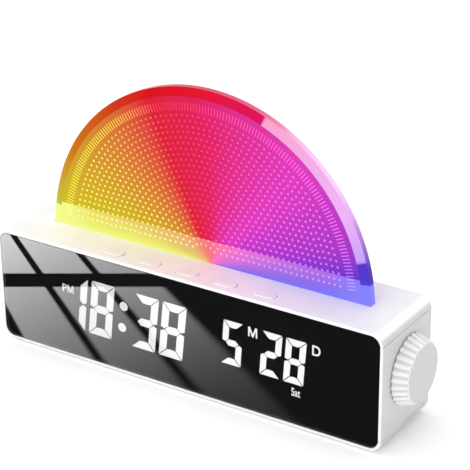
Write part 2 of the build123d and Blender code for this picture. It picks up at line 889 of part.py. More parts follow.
rotor_front = x_pad - rotor_inset
rotor_back = rotor_front - rotor_thickness
shaft_tip = rotor_back - rotor_gap
with BuildPart() as encoder_shaft:
    with BuildSketch(facing_right(x_hub)):
        shaft_section(shaft_radius)
    extrude(amount=x_socket - x_hub)
    with BuildSketch(facing_right(rotor_front + knob_travel + rotor_gap)):
        with Locations((knob_y, knob_z)):
            Circle(shaft_radius)
    extrude(amount=x_hub - rotor_front - knob_travel - rotor_gap)
    with BuildSketch(facing_right(shaft_tip)):
        shaft_section(shaft_radius)
    extrude(amount=rotor_front + knob_travel + rotor_gap - shaft_tip)
save(encoder_shaft, "encoder_shaft")

with BuildPart() as encoder_rotor:
    with BuildSketch(facing_right(rotor_back)):
        with Locations((knob_y, knob_z)):
            Circle(rotor_radius)
    extrude(amount=rotor_thickness)
    with BuildSketch(facing_right(rotor_back)):
        shaft_section(shaft_radius + shaft_fit)
    extrude(amount=rotor_thickness, mode=Mode.SUBTRACT)
save(encoder_rotor, "encoder_rotor")

well_back = shaft_tip - knob_travel - rotor_gap
with BuildPart() as encoder_body:
    with BuildSketch(facing_right(x_encoder_back)):
        with Locations((knob_y, knob_z)):
            Rectangle(encoder_width, encoder_width)
    extrude(amount=encoder_depth)
    with BuildSketch(facing_right(x_pad)):
        with Locations((knob_y, knob_z)):
            Circle(bushing_radius)
    extrude(amount=x_bushing - x_pad)
    with BuildSketch(facing_right(well_back)):
        with Locations((knob_y, knob_z)):
            Circle(rotor_radius + rotor_gap)
    extrude(amount=rotor_front + rotor_gap - well_back, mode=Mode.SUBTRACT)
    with BuildSketch(facing_right(rotor_front)):
        with Locations((knob_y, knob_z)):
            Circle(shaft_radius + shaft_fit)
    extrude(amount=x_bushing - rotor_front, mode=Mode.SUBTRACT)
save(encoder_body, "encoder_body")

with BuildPart() as encoder_washer:
    with BuildSketch(facing_right(x_recess)):
        with Locations((knob_y, knob_z)):
            Circle(washer_radius)
            Circle(bushing_radius + shaft_fit, mode=Mode.SUBTRACT)
    extrude(amount=washer_thickness)
save(encoder_washer, "encoder_washer")

with BuildPart() as encoder_nut:
    with BuildSketch(facing_right(x_recess + washer_thickness)):
        with Locations((knob_y, knob_z)):
            RegularPolygon(nut_across / 2, 6, major_radius=False)
            Circle(bushing_radius + shaft_fit, mode=Mode.SUBTRACT)
    extrude(amount=nut_height)
save(encoder_nut, "encoder_nut")

with BuildPart() as encoder_board:
    with BuildSketch(facing_right(x_encoder_back)):
        with Locations((knob_y, knob_z)):
            Rectangle(encoder_board_width, encoder_board_height)
    extrude(amount=-board_thickness)
save(encoder_board, "encoder_board")

# ------------------------------------------------------------------ main board
with BuildPart() as main_board:
    with BuildSketch(Plane.XY.offset(z_main_board)):
        with Locations((0, main_board_y)):
            Rectangle(main_board_length, main_board_depth)
        with Locations(*main_post_spots):
            Circle(screw_clear_radius, mode=Mode.SUBTRACT)
    extrude(amount=board_thickness)
save(main_board, "main_board")
screws(
    "main_board_screws",
    Plane.XY.offset(z_main_top),
    main_post_spots,
    board_thickness + main_post_height - screw_tip_gap,
)

with BuildPart() as main_board_chips:
    with BuildSketch(Plane.XY.offset(z_main_top)):
        with Locations((chip_x, main_board_y)):
            Rectangle(chip_size, chip_size)
        with Locations(
            (driver_chip_spot[0], main_board_y + driver_chip_spot[1]),
            (amplifier_inset - main_board_length / 2, main_board_y - amplifier_forward),
        ):
            Rectangle(chip_size / 2, chip_size / 2)
    extrude(amount=chip_height)
save(main_board_chips, "main_board_chips")

with BuildPart() as board_capacitors:
    with BuildSketch(Plane.XY.offset(z_main_top)):
        with Locations(*[(x, main_board_y + y) for x, y in capacitor_spots]):
            Circle(capacitor_radius)
    extrude(amount=capacitor_height)
    chamfer(faces().group_by(Axis.Z)[-1].edges(), capacitor_edge)
save(board_capacitors, "board_capacitors")

usb_front = y_back - usb_setback - usb_length
usb_z = z_main_top + usb_height / 2
with BuildPart() as usb_socket:
    with BuildSketch(facing_front(usb_front)):
        with Locations((usb_x, usb_z)):
            SlotOverall(usb_width, usb_height)
    extrude(amount=-usb_length)
    with BuildSketch(facing_front(usb_front + usb_back_wall)):
        with Locations((usb_x, usb_z)):
            SlotOverall(usb_width - 2 * usb_shell, usb_height - 2 * usb_shell)
    extrude(amount=-(usb_length - usb_back_wall), mode=Mode.SUBTRACT)
    with BuildSketch(facing_front(usb_front + usb_back_wall)):
        with Locations((usb_x, usb_z)):
            Rectangle(usb_tongue_width, usb_tongue_thickness)
    extrude(amount=-(usb_length - 2 * usb_back_wall))
save(usb_socket, "usb_socket")

with BuildPart() as coin_cell_holder:
    with BuildSketch(Plane.XY.offset(z_main_top)):
        with Locations((cell_x, main_board_y)):
            Circle(cell_radius + cell_wall)
    extrude(amount=cell_floor)
    with BuildSketch(Plane.XY.offset(z_main_top + cell_floor)):
        with Locations((cell_x, main_board_y)):
            Circle(cell_radius + cell_wall)
            Circle(cell_radius + seat_gap, mode=Mode.SUBTRACT)
        with Locations((cell_x, main_board_y - cell_radius)):
            Rectangle(cell_radius, cell_radius, mode=Mode.SUBTRACT)
    extrude(amount=cell_thickness)
save(coin_cell_holder, "coin_cell_holder")

with BuildPart() as coin_cell:
    with BuildSketch(Plane.XY.offset(z_main_top + cell_floor)):
        with Locations((cell_x, main_board_y)):
            Circle(cell_radius)
    extrude(amount=cell_thickness)
    chamfer(faces().group_by(Axis.Z)[-1].edges(), cell_edge)
save(coin_cell, "coin_cell")

# ------------------------------------------------------------------ speaker
y_speaker = y_back - wall
speaker_axis = Axis((speaker_x, 0, speaker_z), (0, 1, 0))
basket_depth = speaker_depth - magnet_height
y_magnet = y_speaker - basket_depth


def speaker_profile(points):
    """Turn a side view, given as (radius, depth behind the cover) corners, about the speaker's axis."""
    with BuildSketch(Plane.XY.offset(speaker_z)) as side_view:
        with BuildLine():
            Polyline(*[(speaker_x + radius, y_speaker - depth) for radius, depth in points], close=True)
        make_face()
    revolve(side_view.sketch, axis=speaker_axis)


with BuildPart() as speaker_frame:
    speaker_profile([
        (speaker_radius - speaker_rim, 0),
        (speaker_radius, 0),
        (speaker_radius, basket_wall),
        (speaker_radius - basket_wall, basket_wall),
        (magnet_radius + basket_wall, basket_depth),
        (coil_radius + coil_gap, basket_depth),
        (coil_radius + coil_gap, basket_depth - basket_wall),
        (magnet_radius, basket_depth - basket_wall),
        (speaker_radius - speaker_rim - basket_wall / 2, basket_wall),
    ])
    with Locations((speaker_x, y_speaker - terminal_depth, speaker_z - terminal_drop)):
        Box(lead_width, terminal_size, terminal_size)
save(speaker_frame, "speaker_frame")

with BuildPart() as speaker_magnet:
    with BuildSketch(facing_front(y_magnet)):
        with Locations((speaker_x, speaker_z)):
            Circle(magnet_radius)
    extrude(amount=magnet_height)
    chamfer(edges().group_by(Axis.Y)[0], magnet_edge)
save(speaker_magnet, "speaker_magnet")

cone_edge = speaker_radius - speaker_rim - coil_wall
cone_start = coil_wall
cone_foot = coil_radius + speaker_rim
with BuildPart() as speaker_cone:
    speaker_profile([
        (0, dome_rise),
        (cone_foot, cone_rise),
        (cone_edge - cone_wall, cone_start),
        (cone_edge, cone_start),
        (cone_edge - cone_wall / 2, cone_start + cone_wall),
        (cone_edge - cone_wall, cone_start + cone_wall),
        (cone_foot, cone_rise + cone_wall),
        (coil_radius + coil_wall, cone_rise + cone_wall),
        (coil_radius + coil_wall, basket_depth - coil_wall),
        (coil_radius, basket_depth - coil_wall),
        (coil_radius, cone_rise + coil_wall),
        (0, dome_rise + cone_wall),
    ])
save(speaker_cone, "speaker_cone")

# ------------------------------------------------------------------ leads
# Flat leads run from each board to a plug on the main board, and lie face to face with both.
z_plug = z_main_top + connector_height
front_row_y = main_board_y - main_board_depth / 2 + connector_depth
back_row_y = main_board_y + speaker_plug_back
encoder_plug_x = main_board_length / 2 - encoder_plug_inset
with BuildPart() as board_connectors:
    with BuildSketch(Plane.XY.offset(z_main_top)):
        with Locations(
            (display_lead_x, front_row_y),
            (key_lead_x, front_row_y),
            (light_lead_x, plate_y),
            (speaker_x, back_row_y),
        ):
            Rectangle(lead_width + 2 * plug_margin, connector_depth)
        with Locations((encoder_plug_x, knob_y)):
            Rectangle(connector_depth, encoder_lead_width + plug_margin)
    extrude(amount=connector_height)
save(board_connectors, "board_connectors")

z_light_lead = z_light_board - board_thickness
ribbon(
    "light_ribbon",
    facing_right(light_lead_x),
    lead_width,
    [
        (plate_y, z_light_lead),
        (plate_y, z_light_lead - ribbon_run),
        (plate_y + ribbon_slack, (z_light_lead + z_plug) / 2),
        (plate_y, z_plug + ribbon_run),
        (plate_y, z_plug),
    ],
)
ribbon(
    "display_ribbon",
    facing_right(display_lead_x),
    lead_width,
    [(y_display_back, reflector_z), (front_row_y, reflector_z), (front_row_y, z_plug)],
)
z_key_lead = z_key_board - board_thickness
ribbon(
    "button_ribbon",
    facing_right(key_lead_x),
    lead_width,
    [
        (key_post_y, z_key_lead),
        (key_post_y, z_key_lead - ribbon_run),
        (front_row_y, z_plug + ribbon_run),
        (front_row_y, z_plug),
    ],
)
y_terminal = y_speaker - terminal_depth - terminal_size / 2
ribbon(
    "speaker_ribbon",
    facing_right(speaker_x),
    lead_width,
    [
        (y_terminal, speaker_z - terminal_drop),
        (back_row_y, speaker_z - terminal_drop),
        (back_row_y, z_plug),
    ],
)
x_encoder_lead = x_encoder_back - board_thickness
z_encoder_lead = knob_z - encoder_lead_drop
ribbon(
    "encoder_ribbon",
    facing_front(knob_y),
    encoder_lead_width,
    [
        (x_encoder_lead, z_encoder_lead),
        (x_encoder_lead - ribbon_run, z_encoder_lead),
        (encoder_plug_x, z_plug + ribbon_run),
        (encoder_plug_x, z_plug),
    ],
)
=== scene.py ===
import json
from math import asin, cos, degrees, hypot, pi, radians, sin, tan

import bpy
from mathutils import Matrix, Vector


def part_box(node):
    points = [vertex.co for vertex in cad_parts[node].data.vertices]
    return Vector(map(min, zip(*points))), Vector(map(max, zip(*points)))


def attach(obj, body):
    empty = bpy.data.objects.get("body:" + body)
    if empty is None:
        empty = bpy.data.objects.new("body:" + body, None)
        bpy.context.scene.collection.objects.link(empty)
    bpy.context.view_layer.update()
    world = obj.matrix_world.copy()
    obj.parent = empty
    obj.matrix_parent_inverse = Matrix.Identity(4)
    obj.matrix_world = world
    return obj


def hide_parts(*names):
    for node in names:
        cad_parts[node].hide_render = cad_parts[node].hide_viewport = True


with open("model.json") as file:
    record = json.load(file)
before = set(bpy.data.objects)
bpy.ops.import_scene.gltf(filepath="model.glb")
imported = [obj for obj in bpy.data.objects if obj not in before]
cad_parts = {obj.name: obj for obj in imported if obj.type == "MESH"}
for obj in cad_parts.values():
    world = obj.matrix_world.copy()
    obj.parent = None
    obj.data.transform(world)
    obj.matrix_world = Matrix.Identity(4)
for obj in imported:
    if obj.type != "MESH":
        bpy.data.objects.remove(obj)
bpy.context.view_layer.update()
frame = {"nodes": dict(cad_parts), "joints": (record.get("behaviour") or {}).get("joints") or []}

nodes = frame["nodes"]


# ------------------------------------------------------------------ housing and its panels
# The housing is a white ABS moulding that runs from the front rim to the cover's seam. Two end
# panels slide in from behind, between its corner rounds, and the cover closes the back. All of
# it has the fine satin grain of a sparked mould, a little smoother where hands polish its edges,
# and those edges carry a painted highlight: their colour is painted lighter than the rest.
cloud_scale = 55.0
cloud_shade = 0.985
smudge_scale = 300.0
smudge_spread = 0.06
edge_polish = 0.1
edge_turn = (0.01, 0.2)


class Value:
    """A number or colour on its way through a material; sums on it add Math nodes."""

    def __init__(self, tree, socket):
        self.tree = tree
        self.socket = socket

    def node(self, kind, settings, sockets, out=0):
        """Another node: its settings are made first, then its sockets' numbers or links."""
        made = self.tree.nodes.new(kind)
        for name, setting in settings.items():
            if name == "stops":
                stops = made.color_ramp.elements
                while len(stops) > 1:
                    stops.remove(stops[0])
                stops[0].position, stops[0].color = setting[0]
                for position, colour in setting[1:]:
                    stops.new(position).color = colour
            else:
                setattr(made, name, setting)
        for name, given in sockets.items():
            self.feed(made.inputs[name], given)
        return Value(self.tree, made.outputs[out])

    def feed(self, socket, given):
        """Set a socket to a number, or link another value to it."""
        if isinstance(given, Value):
            self.tree.links.new(given.socket, socket)
        else:
            socket.default_value = given

    def maths(self, operation, second=0.0, first=None):
        """A Math node on this value and a second, or on a given first value and a second."""
        start = self if first is None else first
        return self.node("ShaderNodeMath", {"operation": operation}, {0: start, 1: second})

    def __add__(self, other):
        return self.maths("ADD", other)

    def __radd__(self, other):
        return self.maths("ADD", self, first=other)

    def __sub__(self, other):
        return self.maths("SUBTRACT", other)

    def __rsub__(self, other):
        return self.maths("SUBTRACT", self, first=other)

    def __mul__(self, other):
        return self.maths("MULTIPLY", other)

    def __rmul__(self, other):
        return self.maths("MULTIPLY", self, first=other)

    def __truediv__(self, other):
        return self.maths("DIVIDE", other)

    def __gt__(self, other):
        return self.maths("GREATER_THAN", other)

    def __lt__(self, other):
        return self.maths("LESS_THAN", other)

    def rising(self, low, high):
        """0 below low, 1 above high and smooth between them."""
        return self.node("ShaderNodeMapRange", {"interpolation_type": "SMOOTHSTEP"},
                         {"Value": self, "From Min": low, "From Max": high})

    def between(self, low, high):
        """This 0 to 1 value stretched over another range."""
        return self * (high - low) + low

    def mixed(self, first, second):
        """The first colour where this value is 0 and the second where it is 1."""
        return self.node("ShaderNodeMix", {"data_type": "RGBA"}, {0: self, 6: first, 7: second}, 2)

    def noise(self, scale, detail=2.0):
        """Cloudy noise on this place."""
        return self.node("ShaderNodeTexNoise", {}, {"Vector": self, "Scale": scale, "Detail": detail})

    def bump(self, depth):
        """A surface normal from this value as a height."""
        return self.node("ShaderNodeBump", {}, {"Height": self, "Strength": 1.0, "Distance": depth})

    def axis(self, name):
        """One coordinate of this place."""
        return self.node("ShaderNodeSeparateXYZ", {}, {"Vector": self}, name)


def tone(red, green, blue):
    """A colour as seen on a screen, 0 to 255, as the shader's light values."""
    seen = [part / 255 for part in (red, green, blue)]
    return [part / 12.92 if part < 0.04045 else ((part + 0.055) / 1.055) ** 2.4 for part in seen] + [1.0]


def new_material(name):
    """A material, its surface shader, and the place on the piece to build patterns on."""
    material = bpy.data.materials.new(name)
    material.use_nodes = True
    tree = material.node_tree
    place = Value(tree, tree.nodes.new("ShaderNodeTexCoord").outputs["Object"])
    return material, tree.nodes["Principled BSDF"].inputs, place


def edge_of(place, radius):
    """1 along sharp edges and 0 away from them."""
    soft = place.node("ShaderNodeBevel", {"samples": 4}, {"Radius": radius})
    hard = place.node("ShaderNodeNewGeometry", {}, {}, "Normal")
    turned = place.node("ShaderNodeVectorMath", {"operation": "DOT_PRODUCT"}, {0: soft, 1: hard}, "Value")
    return (1 - turned).rising(*edge_turn)


def moulded(name, colour, edge_highlight, rough, grain=2600.0, depth=0.000015, edge=0.0005):
    """Moulded plastic: a cloudy tone, spark grain, and edges smoother from handling and painted lighter as
    a highlight.
    """
    material, surface, place = new_material(name)
    shaded = [part * cloud_shade for part in colour]
    body = place.noise(cloud_scale, 3.0).rising(0.35, 0.65).mixed(tone(*colour), tone(*shaded))
    smudges = place.noise(smudge_scale).between(rough - smudge_spread, rough + smudge_spread)
    # Along the edges the roughness drops for the polish of handling, and the colour is painted lighter as a
    # highlight.
    worn_and_highlit = edge_of(place, edge)
    place.feed(surface["Base Color"], worn_and_highlit.mixed(body, tone(*edge_highlight)))
    place.feed(surface["Roughness"], smudges - worn_and_highlit * edge_polish)
    place.feed(surface["Normal"], place.noise(grain, 4.0).bump(depth))
    return material


def dress(material, *names):
    """Give CAD nodes their material."""
    for name in names:
        nodes[name].material_slots[0].material = material


white_plastic = moulded("white_plastic", (240, 240, 241), (247, 247, 247), 0.42)
dress(white_plastic, "housing", "end_cap_left", "end_cap_right")


# ------------------------------------------------------------------ rear cover, screws and feet
# The cover is moulded from the same white plastic and held by four zinc-plated pan-head screws.
# Four dark rubber discs are glued into pockets in the floor.
line_scale = 900.0
line_depth = 0.000008
dull_scale = 180.0
dull_shade = 0.86
bright_shade = 1.12


def plated(name, colour, rough, run=(1.0, 1.0, 1.0), edge=0.00015):
    """Plated or drawn metal with fine drawing lines and brighter edges."""
    material, surface, place = new_material(name)
    lines = place.node("ShaderNodeMapping", {}, {"Vector": place, "Scale": run}).noise(line_scale, 5.0)
    dulled = [part * dull_shade for part in colour]
    bright = [min(255, part * bright_shade) for part in colour]
    body = place.noise(dull_scale, 3.0).rising(0.3, 0.7).mixed(tone(*colour), tone(*dulled))
    place.feed(surface["Base Color"], edge_of(place, edge).mixed(body, tone(*bright)))
    place.feed(surface["Roughness"], lines.between(rough - 0.08, rough + 0.1))
    place.feed(surface["Normal"], lines.bump(line_depth))
    surface["Metallic"].default_value = 1.0
    return material


dress(white_plastic, "rear_cover")
screw_steel = plated("screw_steel", (190, 192, 196), 0.32)
dress(screw_steel, "rear_cover_screws")

foot_rubber, foot_surface, foot_place = new_material("foot_rubber")
foot_dust = foot_place.noise(420.0, 5.0)
foot_tone = foot_dust.rising(0.45, 0.8).mixed(tone(52, 52, 54), tone(92, 90, 88))
foot_place.feed(foot_surface["Base Color"], foot_tone)
foot_place.feed(foot_surface["Roughness"], foot_dust.between(0.7, 0.95))
foot_place.feed(foot_surface["Normal"], foot_place.noise(1800.0, 3.0).bump(0.00003))
dress(foot_rubber, "rubber_feet")

# ------------------------------------------------------------------ display behind the lens
# A green board carries one light for each bar. A white reflector block with a well over each
# light and a printed film stand between it and the lens; four screws hold the board.
board_laminate, board_surface, board_place = new_material("board_laminate")
track_web = board_place.node("ShaderNodeTexVoronoi", {"feature": "DISTANCE_TO_EDGE"},
                             {"Vector": board_place, "Scale": 260.0})
off_tracks = track_web.rising(0.02, 0.06)
track_tone = off_tracks.mixed(tone(30, 96, 58), tone(16, 66, 40))
board_tone = board_place.noise(60.0).rising(0.3, 0.75).mixed(track_tone, tone(20, 74, 46))
board_place.feed(board_surface["Base Color"], board_tone)
board_place.feed(board_surface["Roughness"], board_place.noise(500.0).between(0.25, 0.45))
board_place.feed(board_surface["Normal"], off_tracks.bump(0.00003))
dress(board_laminate, "display_board")

reflector_plastic = moulded("reflector_plastic", (226, 226, 222), (236, 236, 232), 0.5, 1500.0)
dress(reflector_plastic, "digit_reflector")
film_plastic = moulded("film_plastic", (34, 34, 36), (44, 44, 46), 0.6, 900.0)
dress(film_plastic, "display_film")

light_package, package_surface, package_place = new_material("light_package")
resin = package_place.noise(700.0, 3.0)
resin_tone = resin.rising(0.35, 0.7).mixed(tone(244, 236, 176), tone(226, 214, 150))
package_place.feed(package_surface["Base Color"], resin_tone)
package_place.feed(package_surface["Roughness"], resin.between(0.15, 0.35))
package_place.feed(package_surface["Normal"], resin.bump(0.00001))
dress(light_package, "display_leds")
dress(screw_steel, "display_screws")

# ------------------------------------------------------------------ lens
# A thin sheet of smoked acrylic with laser-cut corners and a polished front edge, glued into
# the housing's front. Its back is printed black around the lit windows of the display.
lens_low, lens_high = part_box("display_lens")
lens_corner = 0.0045
lens_corner_steps = 14
lens_thickness = 0.00165
lens_polish = 0.0002
lens_face_depth = 0.00005
smoke_cover = 0.85
print_thickness = 0.0001
touching = 1e-6


def start_box(low, high):
    """A block between two corners, in hand for editing."""
    bpy.ops.object.select_all(action="DESELECT")
    middle = [(a + b) / 2 for a, b in zip(low, high)]
    bpy.ops.mesh.primitive_cube_add(size=1.0, location=middle)
    piece = bpy.context.object
    piece.scale = [b - a for a, b in zip(low, high)]
    bpy.ops.object.transform_apply(location=True, rotation=True, scale=True)
    bpy.ops.object.mode_set(mode="EDIT")
    return piece


def pick(piece, kind, where):
    """Select the faces or edges of the piece in hand whose corners pass a test."""
    bpy.ops.mesh.select_mode(type=kind)
    bpy.ops.mesh.select_all(action="DESELECT")
    bpy.ops.object.mode_set(mode="OBJECT")
    mesh = piece.data
    for part in mesh.polygons if kind == "FACE" else mesh.edges:
        part.select = where([mesh.vertices[i].co for i in part.vertices])
    bpy.ops.object.mode_set(mode="EDIT")


def settle(piece, name, material, body, smooth=30.0):
    """Finish a piece: name, material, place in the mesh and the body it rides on."""
    bpy.ops.object.mode_set(mode="OBJECT")
    bpy.ops.object.select_all(action="DESELECT")
    piece.select_set(True)
    bpy.context.view_layer.objects.active = piece
    bpy.ops.object.transform_apply(location=True, rotation=True, scale=True)
    bpy.ops.object.shade_smooth_by_angle(angle=radians(smooth))
    piece.name = piece.data.name = name
    piece.data.materials.clear()
    piece.data.materials.append(material)
    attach(piece, body)
    return piece


def rounded_sheet(low, high, corner):
    """A sheet across the front, with round corners."""
    piece = start_box(low, high)
    pick(piece, "EDGE", lambda ends: abs(ends[0].y - ends[1].y) > touching)
    bpy.ops.mesh.bevel(offset=corner, segments=lens_corner_steps, affect="EDGES")
    return piece


smoked_acrylic, smoked_surface, smoked_place = new_material("smoked_acrylic")
smear = smoked_place.noise(38.0, 4.0)
smoke_tone = smear.rising(0.3, 0.8).mixed(tone(17, 17, 18), tone(20, 20, 21))
in_front = smoked_place.axis("Y") < lens_low.y + lens_face_depth
smoked_place.feed(smoked_surface["Base Color"], smoke_tone)
smoked_place.feed(smoked_surface["Roughness"], smear.between(0.3, 0.4))
smoked_place.feed(smoked_surface["Alpha"], in_front * smoke_cover)
smoked_place.feed(smoked_surface["Coat Weight"], in_front)
smoked_surface["Specular IOR Level"].default_value = 0.0
smoked_surface["Coat IOR"].default_value = 1.7
smoked_surface["Coat Roughness"].default_value = 0.0

lens = rounded_sheet(lens_low, (lens_high.x, lens_low.y + lens_thickness, lens_high.z), lens_corner)
pick(lens, "EDGE", lambda ends: all(abs(end.y - lens_low.y) < touching for end in ends))
bpy.ops.mesh.bevel(offset=lens_polish, segments=1, affect="EDGES")
settle(lens, "lens_sheet", smoked_acrylic, "clock_body", smooth=12.0)
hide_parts("display_lens")

black_print = moulded("black_print", (24, 24, 25), (24, 24, 25), 0.5, 3000.0, 0.0000003)
backing = rounded_sheet(
    (lens_low.x + print_thickness, lens_high.y - print_thickness, lens_low.z + print_thickness),
    (lens_high.x - print_thickness, lens_high.y, lens_high.z - print_thickness),
    lens_corner - print_thickness,
)
settle(backing, "lens_back_print", black_print, "clock_body")

# ------------------------------------------------------------------ lit windows of the display
# Each lit bar, dot and legend is a clear window in the print with a white diffuser over it.
# The clock shows 18:38 and the 28th of the fifth month, with plain PM, M, D and Sat legends.
window_gap = 0.00002
window_front = lens_low.y + lens_thickness + window_gap
window_thickness = 0.00003
dim_end, bright_end = -0.09, 0.03
bar_gap = 0.00056
bar_round = 0.00012
bar_bulge = 0.0002
bar_taper = 0.55
upright_bars = {"1": "bc", "2": "abged", "3": "abgcd", "5": "afgcd", "8": "abcdefg"}
colon_radius = 0.0022
colon_steps = 20
letter_round = 0.00003
start_radius = 0.001
uncut_depth = 0.01

lit_window, lit_surface, lit_place = new_material("lit_window")
glow = lit_place.noise(900.0, 3.0)
bright = lit_place.axis("X").rising(dim_end, bright_end).mixed(tone(204, 204, 204), tone(255, 255, 255))
clouded = glow.rising(0.2, 0.9).between(0.0, 0.1).mixed(bright, tone(200, 202, 206))
lit_place.feed(lit_surface["Emission Color"], clouded)
lit_place.feed(lit_surface["Roughness"], glow.between(0.5, 0.7))
lit_place.feed(lit_surface["Base Color"], glow.mixed(tone(30, 30, 30), tone(36, 36, 36)))
lit_surface["Emission Strength"].default_value = 6.5


def start_outline(corners):
    """A flat face between the given corners, in hand for editing and selected."""
    bpy.ops.object.select_all(action="DESELECT")
    bpy.ops.mesh.primitive_circle_add(vertices=len(corners), radius=start_radius, fill_type="NGON")
    piece = bpy.context.object
    for corner, place in zip(piece.data.vertices, corners):
        corner.co = place
    bpy.ops.object.mode_set(mode="EDIT")
    bpy.ops.mesh.select_all(action="SELECT")
    return piece


def turn_outwards():
    """Point every face of the piece in hand outwards."""
    bpy.ops.mesh.select_all(action="SELECT")
    bpy.ops.mesh.normals_make_consistent(inside=False)


def window(corners, corner_round=bar_round):
    """A flat window with softened corners, from its outline on the front."""
    piece = start_outline([(x, window_front, z) for x, z in corners])
    bpy.ops.mesh.bevel(offset=corner_round, segments=2, affect="VERTICES")
    bpy.ops.mesh.select_all(action="SELECT")
    bpy.ops.mesh.extrude_region_move(TRANSFORM_OT_translate={"value": (0, window_thickness, 0)})
    turn_outwards()
    bpy.ops.object.mode_set(mode="OBJECT")
    return piece


def bar_outline(bar, width, height, stroke):
    """Outline of one bar of an upright digit whose lower left corner is at 0, 0."""
    gap, half, middle = bar_gap / 2, stroke / 2, height / 2
    inner = stroke + gap
    top = [(gap, height), (width - gap, height), (width - inner, height - stroke),
           (width / 2, height - stroke - bar_bulge), (inner, height - stroke)]
    side = [(0, height - gap), (stroke, height - inner), (stroke, middle + half),
            (half, middle + gap), (0, middle + half * bar_taper)]
    waist = [(half + gap, middle), (inner, middle + half), (width - inner, middle + half),
             (width - half - gap, middle), (width - inner, middle - half), (inner, middle - half)]
    outlines = {
        "a": top,
        "b": [(width - x, z) for x, z in side],
        "c": [(width - x, height - z) for x, z in side],
        "d": [(x, height - z) for x, z in top],
        "e": [(x, height - z) for x, z in side],
        "f": side,
        "g": waist,
    }
    return outlines[bar]


def joined(pieces):
    """Several pieces as one."""
    bpy.ops.object.select_all(action="DESELECT")
    for piece in pieces:
        piece.select_set(True)
    bpy.context.view_layer.objects.active = pieces[0]
    bpy.ops.object.join()
    return bpy.context.object


def digits(numbers, base, width, height, stroke, lean):
    """A row of leaning digits as one piece, each given with the left end of its base."""
    slope = tan(radians(lean))
    return joined([
        window([(left + x + slope * z, base + z) for x, z in bar_outline(bar, width, height, stroke)])
        for number, left in numbers
        for bar in upright_bars[number]
    ])


time_bars = digits((("1", -0.0660), ("8", -0.0512), ("3", -0.0273), ("8", -0.01265)),
                   base=0.0146, width=0.01255, height=0.02688, stroke=0.00378, lean=6.9)
settle(time_bars, "time_bars", lit_window, "clock_body")
date_bars = digits((("5", 0.02045), ("2", 0.03995), ("8", 0.0517)),
                   base=0.0203, width=0.0099, height=0.02112, stroke=0.003, lean=4.7)
settle(date_bars, "date_bars", lit_window, "clock_body")

turns = [step * 2 * pi / colon_steps for step in range(colon_steps)]
dot_outline = [(colon_radius * cos(turn), colon_radius * sin(turn)) for turn in turns]
colon_dots = [
    window([(middle_x + x, middle_z + z) for x, z in dot_outline])
    for middle_x, middle_z in ((-0.0322, 0.0224), (-0.0309, 0.03315))
]
settle(joined(colon_dots), "colon_dots", lit_window, "clock_body")


def legend(words, middle, width, height, bold):
    """A short plain legend, cut to its size with its middle at a place on the front."""
    bpy.ops.object.select_all(action="DESELECT")
    bpy.ops.object.text_add(location=(0, 0, 0), rotation=(radians(90), 0, 0))
    piece = bpy.context.object
    piece.data.body = words
    piece.data.offset = bold
    piece.data.extrude = uncut_depth
    bpy.ops.object.convert(target="MESH")
    bpy.ops.object.transform_apply(location=True, rotation=True, scale=True)
    corners = [corner.co for corner in piece.data.vertices]
    low = [min(corner[i] for corner in corners) for i in range(3)]
    high = [max(corner[i] for corner in corners) for i in range(3)]
    sizes = (width, window_thickness, height)
    starts = (middle[0] - width / 2, window_front, middle[1] - height / 2)
    for corner in corners:
        for i in range(3):
            corner[i] = starts[i] + (corner[i] - low[i]) * sizes[i] / (high[i] - low[i])
    return piece


def letter_m(middle, width, height):
    """A bold M drawn from its outline, because a thickened text M closes up."""
    shape = [(-0.5, -0.5), (-0.5, 0.5), (-0.28, 0.5), (0, -0.2), (0.28, 0.5), (0.5, 0.5), (0.5, -0.5),
             (0.34, -0.5), (0.34, 0.2), (0.07, -0.5), (-0.07, -0.5), (-0.34, 0.2), (-0.34, -0.5)]
    return window([(middle[0] + x * width, middle[1] + z * height) for x, z in shape], letter_round)


legends = [
    legend("P", middle=(-0.0638, 0.0339), width=0.0026, height=0.0038, bold=0.02),
    letter_m(middle=(-0.0605, 0.0339), width=0.0034, height=0.0038),
    letter_m(middle=(0.03675, 0.0390), width=0.0045, height=0.00465),
    legend("D", middle=(0.06795, 0.0390), width=0.0040, height=0.00475, bold=0.016),
    legend("Sat", middle=(0.0581, 0.0164), width=0.00435, height=0.0039, bold=0.01),
]
settle(joined(legends), "display_legends", lit_window, "clock_body", smooth=10.0)

# ------------------------------------------------------------------ light plate
# A half disc cut from 4 mm clear acrylic, bevelled round its front edge. Coloured lights under
# its root fill it with light, which fans out from yellow through red and magenta to blue.
plate_low, plate_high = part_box("light_plate")
plate_front, plate_back = plate_low.y, plate_high.y
plate_radius = plate_high.x
plate_base = plate_high.z - plate_radius
plate_steps = 180
root_half = 0.072
root_depth = plate_base - plate_low.z
bevel_width = 0.004
bevel_depth = 0.0012
bevel_start = plate_radius - bevel_width
bevel_back = plate_front + bevel_depth
face_slack, rim_slack, depth_slack = 0.00003, 0.00004, 0.00002
fan_middle = (0.0037, 0.0559)
foot_middle = (0.0039, 0.0549)
foot_top = 0.0662
corner_top = 0.0644
end_glow = (0.058, 0.08)
sheet_cover = 0.999
foot_clearness = 0.03
lean_reach = (0.064, 0.075)
lean_right, lean_left = (0.22, 0.36), (0.5, 0.62)
most_lean = 0.026
level_rise = 0.00001

lit_plate, plate_surface, plate_place = new_material("lit_plate")
plate_x, plate_y, plate_z = (plate_place.axis(name) for name in "XYZ")


def angle_from(across, up, middle_x, middle_z):
    """Angle about a middle on the plate, 0 at the right, 0.5 at the top and 1 at the left."""
    rise = (up - middle_z).maths("MAXIMUM", level_rise)
    return rise.maths("ARCTAN2", across - middle_x) / pi


def reach_from_base(across, up):
    """Distance from the middle of the plate's round edge."""
    rise = up - plate_base
    return (across * across + rise * rise).maths("POWER", 0.5)


def left_lean(angle):
    """How far the outermost colours lean to the left of the fan, between its right and its top."""
    return angle.rising(*lean_right) * (1 - angle.rising(*lean_left)) * most_lean


